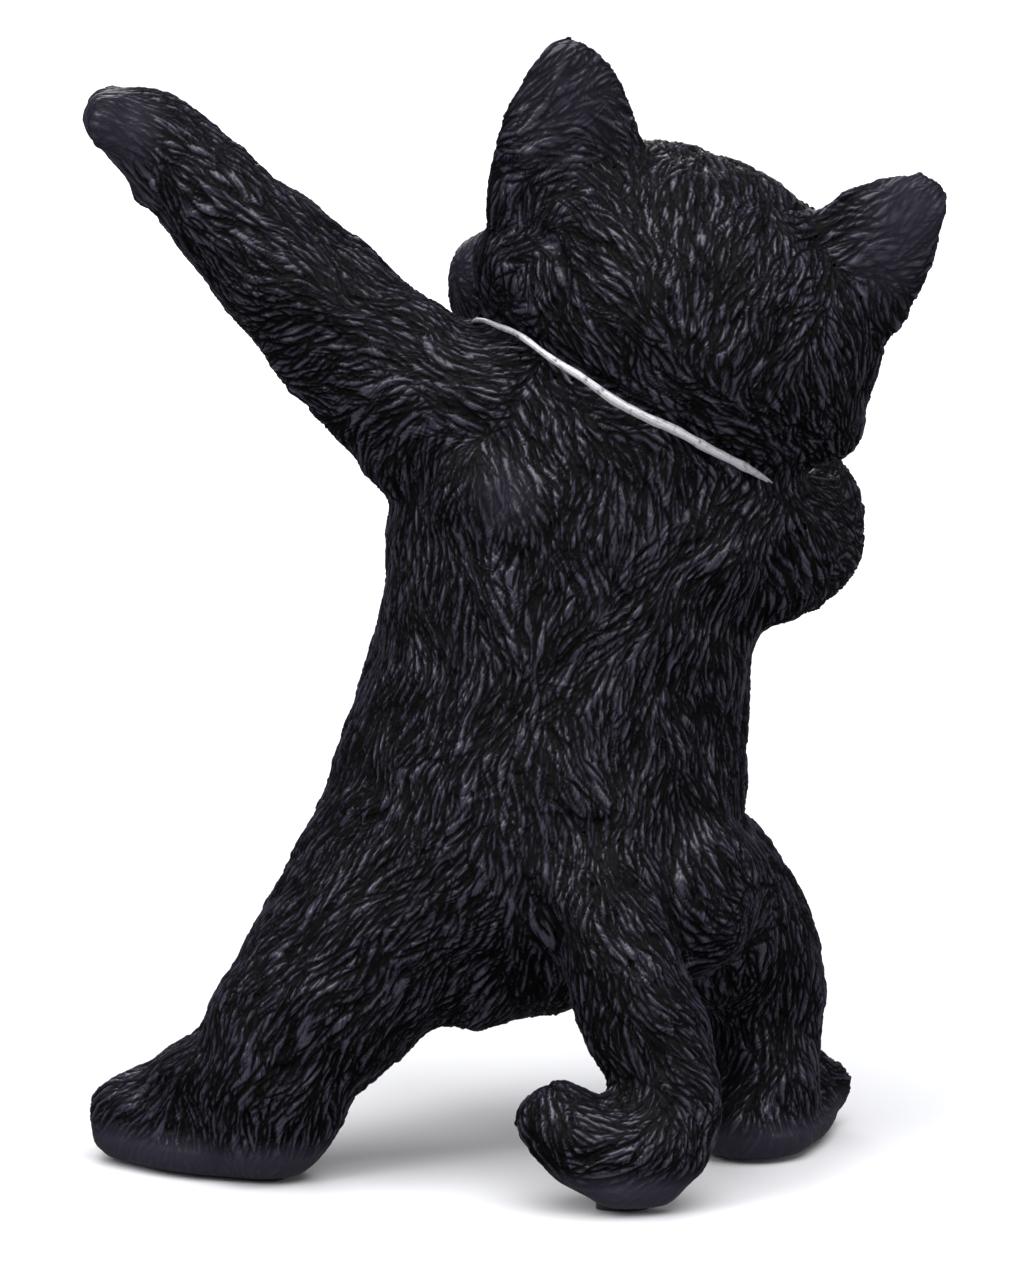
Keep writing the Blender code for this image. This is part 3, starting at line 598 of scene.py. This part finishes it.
# The collar's channel, the hollows of the ears and the crease round the left cheek's lobe are pressed in.
press = 1.1 * neck_groove(points)
for ear, half, lean in (((-10.8, -5.0, 199), (8.0, 13.5), 0.0), ((-69.5, -5.0, 179), (6.5, 11.0), -45.0)):
    c, s = math.cos(math.radians(lean)), math.sin(math.radians(lean))
    x, z = points[:, 0] - ear[0], points[:, 2] - ear[2]
    shape = np.hypot((c * x - s * z) / half[0], (s * x + c * z) / half[1])
    front = np.clip(-normals[:, 1] * 1.4, 0, 1) * (points[:, 1] < 1.5)
    press += 3.2 * np.clip(1.15 - shape, 0, 1) ** 0.7 * front
lobe_x, lobe_z = points[:, 0] - 0.4, points[:, 2] - 174.5
lobe_turn = np.degrees(np.arctan2(lobe_z, lobe_x)) % 360
lobe_side = np.clip(np.minimum(lobe_turn - 95, 262 - lobe_turn) / 40, 0, 1) * (points[:, 1] > -6)
press += 1.2 * np.exp(-(((np.hypot(lobe_x, lobe_z) - 9.3) / 1.3) ** 2)) * lobe_side
points -= normals * press[:, None]
normals = normals_of(points, quads)

broad = coat_strength(points)
lock, _, _, _ = locks(points, normals, 11, 7.5, (6.5, 9.5), (3.2, 4.8), 0.55, 0.03, (2, 4))
smooth_height = 0.9 * broad * (lock - 0.6) + 0.35 * broad * ripple(points, 16, 5)
points += normals * smooth_height[:, None]
normals = normals_of(points, quads)

tuft, strand, run, groove = locks(points, normals, 21, 2.8, (4.2, 7.2), (1.2, 2.1), 0.4, 0.045, (2.8, 4.6))
cut = cuts(points, normals, 31, 1.8, (2.4, 6.0), (0.45, 0.72), 0.35, 0.045)
fine = broad * (0.56 * (tuft - 0.65) - 0.5 * groove - 0.62 * cut)
points += normals * fine[:, None]
points[:, 2] = np.maximum(points[:, 2], SOLE_Z)
normals = normals_of(points, quads)
# ridge is 1 on the locks' crests and 0 in their grooves and cuts. In the base colour it puts painted shade in
# the grooves and cuts, and lighter dry-brushed paint on the crests that is partly a painted highlight.
ridge = np.clip(1.0 + 0.8 * (tuft - 0.8) - 1.1 * groove - 1.6 * cut, 0, 1) * broad + (1 - broad) * 0.5

# ------------------------------------------------------------------ cut into closed pieces
# Each piece and the casting that it stands for.
STANDS_FOR = {
    "body_upper": "body_casting",
    "body_middle": "body_casting",
    "body_lower": "body_casting",
    "head_back": "head_casting",
    "head_front": "head_casting",
    "ears": "head_casting",
    "raised_arm": "raised_arm_casting",
    "bent_arm": "bent_arm_casting",
    "tail": "tail_casting",
    "left_leg": "body_casting",
    "right_leg": "body_casting",
    "bent_forearm": "bent_arm_casting",
    "left_foot": "body_casting",
}
names = list(STANDS_FOR)
numbered = names.index
cage = points[quads].mean(1).reshape(-1, 16, 3).mean(1)
x, y, z = cage.T
nearest = np.argmin([
    chain_distance(cage, *BODY_CHAINS),
    chain_distance(cage, *HEAD_CHAINS),
    chain_distance(cage, *RAISED_CHAINS),
    chain_distance(cage, *BENT_CHAINS),
    chain_distance(cage, *TAIL_CHAINS),
    chain_distance(cage, *LEFT_CHAINS),
    chain_distance(cage, *RIGHT_CHAINS),
], axis=0)
is_ear = chain_distance(cage, LEFT_EAR, RIGHT_EAR) < 1.12
label = np.select(
    [
        (nearest == 0) & (z > 112), (nearest == 0) & (z > 78), nearest == 0,
        (nearest == 1) & is_ear, (nearest == 1) & (y > -6), nearest == 1,
        nearest == 2, (nearest == 3) & (x > -44) & (y < -28), nearest == 3, nearest == 4,
        (nearest == 5) & (z < 24), nearest == 5,
    ],
    [
        numbered("body_upper"), numbered("body_middle"), numbered("body_lower"),
        numbered("ears"), numbered("head_back"), numbered("head_front"),
        numbered("raised_arm"), numbered("bent_forearm"), numbered("bent_arm"), numbered("tail"),
        numbered("left_foot"), numbered("left_leg"),
    ],
    numbered("right_leg"),
)


def settled(label, quads, rounds):
    """The cage faces' labels after rounds of votes among faces that share a point, for smooth borders."""
    corner = quads.reshape(-1, 64)
    for _ in range(rounds):
        votes = []
        for k in range(len(names)):
            at_point = np.bincount(corner.reshape(-1), np.repeat(label == k, 64), len(points))
            votes.append(at_point[corner].sum(1))
        label = np.argmax(votes, axis=0)
    return label


def borders(faces):
    """Directed border edges of a set of quads, in the order of their first points."""
    edges = np.concatenate([faces[:, [0, 1]], faces[:, [1, 2]], faces[:, [2, 3]], faces[:, [3, 0]]])
    key, back = edges[:, 0] * (1 << 32) + edges[:, 1], edges[:, 1] * (1 << 32) + edges[:, 0]
    border = edges[~np.isin(key, back)]
    return border[np.argsort(border[:, 0], kind="stable")]


def opened(label, quads, rounds):
    """Labels with no piece that touches itself corner to corner: it gets the faces round such a point."""
    for _ in range(rounds):
        for k in range(len(names)):
            starts = borders(quads[np.repeat(label == k, 16)])[:, 0]
            pinched = starts[1:][starts[1:] == starts[:-1]]
            if len(pinched):
                label = np.where(np.isin(quads, pinched).reshape(-1, 64).any(1), k, label)
    return label


label = np.repeat(opened(settled(label, quads, 3), quads, 2), 16)


def rims(faces):
    """The border edges of a set of quads, and for each the number of the loop that it belongs to."""
    border = borders(faces)
    follow = np.searchsorted(border[:, 0], border[:, 1])
    loop = np.arange(len(border))
    for _ in range(16):
        loop = np.minimum(loop, loop[follow])
        follow = follow[follow]
    return border, np.unique(loop, return_inverse=True)[1]


def carried(piece, slot, node, **layers):
    """Gives a piece smooth shading and its attributes, hangs it on the root's empty, and hides the part that
    it stands for.
    """
    for attribute, values in layers.items():
        layer = piece.data.attributes.new(attribute, "FLOAT", "POINT")
        layer.data.foreach_set("value", values.reshape(-1).astype(np.float32))
    piece.data.polygons.foreach_set("use_smooth", np.ones(len(piece.data.polygons), bool))
    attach(piece, "root")
    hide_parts(node)
    return piece


def coat_piece(name, faces):
    """A piece of the casting, closed by a fan from each of its border loops to a hub inside it."""
    border, loop = rims(faces)
    count = np.bincount(loop)[:, None]
    hubs = np.stack([np.bincount(loop, points[border[:, 0], k]) for k in range(3)], -1) / count
    inward = points[faces].mean((0, 1)) - hubs
    hubs += inward * np.minimum(2.5 / np.linalg.norm(inward, axis=1, keepdims=True), 0.3)
    used, index = np.unique(faces, return_inverse=True)
    renumber = np.full(len(points), -1)
    renumber[used] = np.arange(len(used))
    fans = np.stack([renumber[border[:, 1]], renumber[border[:, 0]], len(used) + loop], -1)
    piece = mesh_object(name, np.concatenate([points[used], hubs]), [index.reshape(-1, 4), fans])
    none = np.zeros(len(hubs))
    carried(
        piece, "black_resin", STANDS_FOR[name],
        ridge=np.concatenate([ridge[used], none]),
        strand=np.concatenate([strand[used], none]),
        run=np.concatenate([run[used], none]),
        coat=np.concatenate([broad[used], none]),
    )
    facing = np.repeat(-unit(inward.mean(0))[None], len(hubs), 0)
    piece.data.normals_split_custom_set_from_vertices(np.concatenate([normals[used], facing]))
    return piece


castings = [coat_piece(name, quads[label == number]) for number, name in enumerate(names)]


# ------------------------------------------------------------------ collar, eyes
def collar_piece(spokes=900, ribs=30, half=0.85):
    """A thin cord carried round an ellipse, with drawn ridges and soft dents.

    The ring is (A cos a, B sin a). Its cord is pushed out by r cos b and up by r sin b, where r is the half
    thickness times 1 + 0.035 sin(7 b + 1.5 sin 3 a) + noise, and less towards the two shoulders.
    """
    turn_a, turn_b = 2 * np.pi * np.arange(spokes) / spokes, 2 * np.pi * np.arange(ribs) / ribs
    a, b = np.meshgrid(turn_a, turn_b, indexing="ij")
    left, right = np.clip(np.cos(a), 0, 1), np.clip(-np.cos(a), 0, 1)
    tuck = 1 - 0.03 * left**4 + 0.03 * right**4
    ring = np.stack([COLLAR_HALF[0] * np.cos(a) * tuck, COLLAR_HALF[1] * np.sin(a), a * 0], -1)
    outward = np.stack([np.cos(a) / COLLAR_HALF[0], np.sin(a) / COLLAR_HALF[1], a * 0], -1)
    outward /= np.linalg.norm(outward, axis=2, keepdims=True)
    spot = (ring + 30 * np.stack([b * 0, b * 0, np.sin(b)], -1)).reshape(-1, 3)
    ring_spots = ring.reshape(-1, 3)
    dents = (ripple(ring_spots, 4.5, 71) * 0.05 + ripple(spot, 9.0, 72) * 0.03).reshape(a.shape)
    swell = 1 + 0.035 * np.sin(7 * b + 1.5 * np.sin(3 * a)) + dents
    narrow = (1 - 0.5 * left**1.6) * (1 - 0.6 * np.clip((right - 0.72) / 0.22, 0, 1))
    out, up = half * swell * narrow * np.cos(b), half * swell * narrow * np.sin(b)
    sway = 0.1 * ripple(ring_spots, 14, 73).reshape(a.shape) + collar_lie(ring[..., 0], ring[..., 1])
    local = ring + outward * (out - 0.2)[..., None] + np.stack([a * 0, a * 0, up + sway], -1)
    _, turn = in_collar(np.zeros((1, 3)))
    grid = local @ turn.T + COLLAR_CENTRE
    i, j = np.meshgrid(np.arange(spokes), np.arange(ribs), indexing="ij")
    quads = grid_quads(i, j, (i + 1) % spokes, (j + 1) % ribs, ribs)
    piece = mesh_object("collar", grid.reshape(-1, 3), [quads])
    return carried(piece, "silver_band", "collar_band", round_neck=a, round_cord=b)


def eye_piece(name, node, centre, rings=40, spokes=64):
    """A cabochon: (6.4 sin t cos a, -4.3 cos t, 6.1 sin t sin a), with a pole in front and one behind."""
    across, deep, tall = 6.4, 4.3, 6.1
    t = np.pi * np.arange(1, rings) / rings
    a = 2 * np.pi * np.arange(spokes) / spokes
    x, y = np.outer(np.sin(t), np.cos(a)) * across, np.outer(-np.cos(t), a * 0 + 1) * deep
    body = np.stack([x, y, np.outer(np.sin(t), np.sin(a)) * tall], -1)
    c, s = math.cos(HEAD_TILT), math.sin(HEAD_TILT)
    turn = np.array([[c, 0, s], [0, 1, 0], [-s, 0, c]])
    local = np.concatenate([[(0, -deep, 0)], body.reshape(-1, 3), [(0, deep, 0)]])
    piece = mesh_object(name, local @ turn.T + centre, ball_faces(rings, spokes))
    return carried(piece, "amber_eye", node, eye_x=local[:, 0], eye_z=local[:, 2])


collar = collar_piece()
eyes = [
    eye_piece("right_eye_cabochon", "right_eye", EYE_SPOTS[0]),
    eye_piece("left_eye_cabochon", "left_eye", EYE_SPOTS[1]),
]


# ------------------------------------------------------------------ finishes
class Knot:
    """One socket of a material, with the arithmetic of Math nodes."""

    def __init__(self, paint, socket):
        self.paint, self.socket = paint, socket

    def maths(self, operation, *values, clamp=False):
        return self.paint.node("ShaderNodeMath", {"operation": operation, "use_clamp": clamp}, list(values))

    def __add__(self, other):
        return self.maths("ADD", self, other)

    def __sub__(self, other):
        return self.maths("SUBTRACT", self, other)

    def __mul__(self, other):
        return self.maths("MULTIPLY", self, other)

    def __truediv__(self, other):
        return self.maths("DIVIDE", self, other)

    def __pow__(self, other):
        return self.maths("POWER", self, other)

    def __rsub__(self, other):
        return self.maths("SUBTRACT", other, self)

    __radd__, __rmul__ = __add__, __mul__


class Paint:
    """A material, its nodes made by one method."""

    def __init__(self, name, **settings):
        self.material = bpy.data.materials.new(name)
        self.material.use_nodes = True
        self.tree = self.material.node_tree
        self.tree.nodes.clear()
        self.shader = self.tree.nodes.new("ShaderNodeBsdfPrincipled")
        self.out = self.tree.nodes.new("ShaderNodeOutputMaterial")
        self.tree.links.new(self.shader.outputs[0], self.out.inputs["Surface"])
        for key, value in settings.items():
            self.feed(self.shader.inputs[key.replace("_", " ")], value)

    def feed(self, socket, value):
        if isinstance(value, Knot):
            self.tree.links.new(value.socket, socket)
        else:
            socket.default_value = value

    def set(self, **values):
        for key, value in values.items():
            self.feed(self.shader.inputs[key.replace("_", " ")], value)

    def node(self, kind, settings, values, output=0):
        made = self.tree.nodes.new(kind)
        stops = settings.pop("stops", None)
        for key, value in settings.items():
            setattr(made, key, value)
        if stops:
            while len(made.color_ramp.elements) < len(stops):
                made.color_ramp.elements.new(0.5)
            for element, (place, colour) in zip(made.color_ramp.elements, stops):
                element.position, element.color = place, (*colour, 1)
        for key, value in values.items() if isinstance(values, dict) else enumerate(values):
            self.feed(made.inputs[key], value)
        return Knot(self, made.outputs[output])

    def attribute(self, name):
        return self.node("ShaderNodeAttribute", {"attribute_name": name}, {}, "Fac")

    def place(self):
        return self.node("ShaderNodeTexCoord", {}, {}, "Object")

    def noise(self, vector, scale, detail=3.0, roughness=0.5):
        values = {"Vector": vector, "Scale": scale, "Detail": detail, "Roughness": roughness}
        return self.node("ShaderNodeTexNoise", {}, values, "Fac")

    def vector(self, x, y, z):
        return self.node("ShaderNodeCombineXYZ", {}, [x, y, z])

    def ramp(self, value, stops):
        return self.node("ShaderNodeValToRGB", {"stops": stops}, {"Fac": value}, "Color")

    def bump(self, height, distance, strength=1.0, under=None):
        values = {"Height": height, "Distance": distance, "Strength": strength}
        if under:
            values["Normal"] = under
        return self.node("ShaderNodeBump", {}, values, "Normal")


def smoothly(knot, low, high):
    """0 below low, 1 above high, and straight between them."""
    return knot.maths("DIVIDE", knot - low, high - low, clamp=True)


resin = Paint("black_coat_resin", Specular_IOR_Level=0.12, Coat_Roughness=0.3, Coat_IOR=1.6)
high, depth = resin.attribute("ridge"), resin.attribute("coat")
hair_place = resin.vector(resin.attribute("strand") * 3.2, resin.attribute("run") * 0.22, 0.0)
hair = resin.noise(hair_place, 1.0, 2.0, 0.6)
cast = resin.noise(resin.place(), 900.0, 4.0, 0.6)
wear = resin.noise(resin.place(), 45.0, 3.0, 0.6)
# The near-black paint in the grooves and cuts is painted shade. The lighter paint on the ridges is dry-brush
# and partly a painted highlight. Strand noise and random mottle vary it.
shade_sheen_and_drybrush = smoothly(high * 0.8 + hair * 0.25 + wear * 0.2, 0.27, 1.0)
resin.set(
    Base_Color=resin.ramp(shade_sheen_and_drybrush, [
        (0.0, (0.0005, 0.0005, 0.0008)), (0.36, (0.0148, 0.0134, 0.0226)), (1.0, (0.0370, 0.0334, 0.0550)),
    ]),
    Roughness=0.55 - shade_sheen_and_drybrush * 0.14 + cast * 0.10,
    Coat_Weight=smoothly(shade_sheen_and_drybrush, 0.3, 0.9),
    Normal=resin.bump(cast, 0.00004, 0.5, resin.bump(hair * depth, 0.00016, 0.8)),
)
for piece in castings:
    piece.data.materials.append(resin.material)

silver = Paint("brushed_silver_collar", Metallic=0.6)
neck, cord = silver.attribute("round_neck"), silver.attribute("round_cord")
streak = silver.noise(silver.vector(neck * 18.0, cord * 3.0, 0.0), 1.0, 4.0, 0.65)
speck = silver.noise(silver.place(), 700.0, 3.0, 0.6)
soot = smoothly(speck + streak * 0.5, 0.80, 1.0)
silver.set(
    Base_Color=silver.ramp(soot, [(0.0, (0.66, 0.66, 0.69)), (1.0, (0.12, 0.12, 0.13))]),
    Roughness=0.26 + streak * 0.25,
    Normal=silver.bump(streak, 0.00018, 0.7),
)
collar.data.materials.append(silver.material)

amber = Paint("amber_cabochon", Roughness=0.08, Coat_Weight=1.0, Coat_Roughness=0.03, Specular_IOR_Level=0.6)
ex, ez = amber.attribute("eye_x"), amber.attribute("eye_z")
radius = (ex * ex + ez * ez) ** 0.5
rays = amber.noise(amber.vector(ex / (radius + 0.4), ez / (radius + 0.4), radius * 0.08), 9.0, 3.0, 0.6)
slit = smoothly((ex * ex * 5.0 + ez * ez * 0.28) ** 0.5, 2.1, 2.5)
rim = 1.0 - smoothly(radius, 4.3, 5.3)
shade = smoothly(rays * 0.6 + radius * 0.09, 0.25, 0.85)
iris = amber.ramp(shade, [
    (0.0, (0.55, 0.20, 0.015)), (0.55, (0.42, 0.13, 0.01)), (1.0, (0.10, 0.025, 0.004)),
])
black = (0.004, 0.004, 0.004, 1)
pupil_or_iris = {"Factor": slit * rim, 6: black, 7: iris}
amber.set(Base_Color=amber.node("ShaderNodeMix", {"data_type": "RGBA"}, pupil_or_iris, 2))
for eye in eyes:
    eye.data.materials.append(amber.material)

felt = Paint("dark_wool_felt", Roughness=0.95, Sheen_Weight=0.3, Sheen_Roughness=0.5)
nap = felt.noise(felt.place(), 1400.0, 6.0, 0.75)
clump = felt.noise(felt.place(), 220.0, 3.0, 0.6)
felt_tones = [(0.3, (0.006, 0.006, 0.007)), (0.7, (0.035, 0.034, 0.037))]
felt.set(
    Base_Color=felt.ramp(nap * 0.6 + clump * 0.4, felt_tones),
    Normal=felt.bump(nap * 0.7 + clump * 0.5, 0.0003, 0.9),
)
steel = Paint("drawn_steel_rod", Metallic=1.0)
grain = steel.noise(steel.place(), 800.0, 4.0, 0.6)
steel.set(
    Base_Color=steel.ramp(grain, [(0.3, (0.35, 0.35, 0.36)), (0.7, (0.52, 0.52, 0.53))]),
    Roughness=0.3 + grain * 0.2,
    Normal=steel.bump(grain, 0.00005, 0.4),
)
KEPT_NODES = {
    "left_foot_pad": felt,
    "right_foot_pad": felt,
    "tail_pad": felt,
    "raised_arm_rod": steel,
    "bent_arm_rod": steel,
    "tail_rod": steel,
}
for node, paint in KEPT_NODES.items():
    obj = bpy.data.objects[node]
    for slot in obj.material_slots:
        slot.material = paint.material
    if not obj.material_slots:
        obj.data.materials.append(paint.material)

# ------------------------------------------------------------------ floor, light and camera
AIM = (np.array([0.1, 0.0, 102.1]) + SHIFT) * MM
size, count = 12.0, 24
x, y = np.meshgrid(np.linspace(-size, size, count), np.linspace(-size, size, count), indexing="ij")
i, j = np.meshgrid(np.arange(count - 1), np.arange(count - 1), indexing="ij")
spots = np.stack([x, y, x * 0], -1).reshape(-1, 3)
floor = mesh_object("floor", spots / MM - SHIFT, [grid_quads(i, j, i + 1, j + 1, count)])
sheet = Paint("pale_paper", Roughness=0.95, Specular_IOR_Level=0.1)
paper_tones = [(0.3, (0.90, 0.90, 0.905)), (0.7, (0.92, 0.92, 0.925))]
sheet.set(Base_Color=sheet.ramp(sheet.noise(sheet.place(), 3.0), paper_tones))
floor.data.materials.append(sheet.material)

world = bpy.data.worlds.new("studio")
bpy.context.scene.world = world
world.use_nodes = True
world.node_tree.nodes["Background"].inputs["Color"].default_value = (0.93, 0.95, 1.0, 1)
world.node_tree.nodes["Background"].inputs["Strength"].default_value = 0.14


def posed(obj, axes, place):
    """Puts an object in the scene with its own x, y and z along three directions."""
    obj.matrix_world = Matrix([[*row, p] for row, p in zip(np.stack(axes, 1), place)] + [[0, 0, 0, 1]])
    bpy.context.scene.collection.objects.link(obj)


def softbox(name, place, aim, width, height, power):
    """A rectangular area light that faces a point."""
    data = bpy.data.lights.new(name, "AREA")
    data.shape, data.size, data.size_y, data.energy = "RECTANGLE", width, height, power
    towards = unit(np.array(aim) - np.array(place))
    across = unit(np.cross(towards, (0, 0, 1)))
    posed(bpy.data.objects.new(name, data), (across, np.cross(across, towards), -towards), place)


softbox("left_key", (1.0, 1.2, 0.9), AIM, 0.5, 0.7, 9)
softbox("right_fill", (-1.2, 0.9, 0.5), AIM, 0.4, 0.7, 4)
softbox("far_side", (0.2, -1.6, 0.9), AIM, 0.9, 0.7, 9)
sky = bpy.data.lights.new("ceiling", "SUN")
sky.energy, sky.angle = 3.6, math.radians(70)
sky.color = (0.97, 0.97, 1.0)
lean = unit((0, 0.35, 0.9))
posed(bpy.data.objects.new("ceiling", sky), (np.array([1, 0, 0]), np.cross(lean, (1, 0, 0)), lean), (0, 0, 2))
floor.visible_glossy = False

azimuth, elevation, distance = math.radians(180), math.radians(10), 1.8
back = np.array([0.0, -math.cos(azimuth) * math.cos(elevation), math.sin(elevation)])
right = np.array([math.cos(azimuth), 0.0, 0.0])
up = np.cross(back, right)
data = bpy.data.cameras.new("camera")
data.sensor_fit, data.sensor_height, data.lens = "VERTICAL", 36.0, 263.3
data.clip_start, data.clip_end = 0.05, 60
camera = bpy.data.objects.new("camera", data)
posed(camera, (right, up, back), AIM + back * distance)
bpy.context.scene.camera = camera
bpy.context.scene.view_settings.view_transform = "Standard"
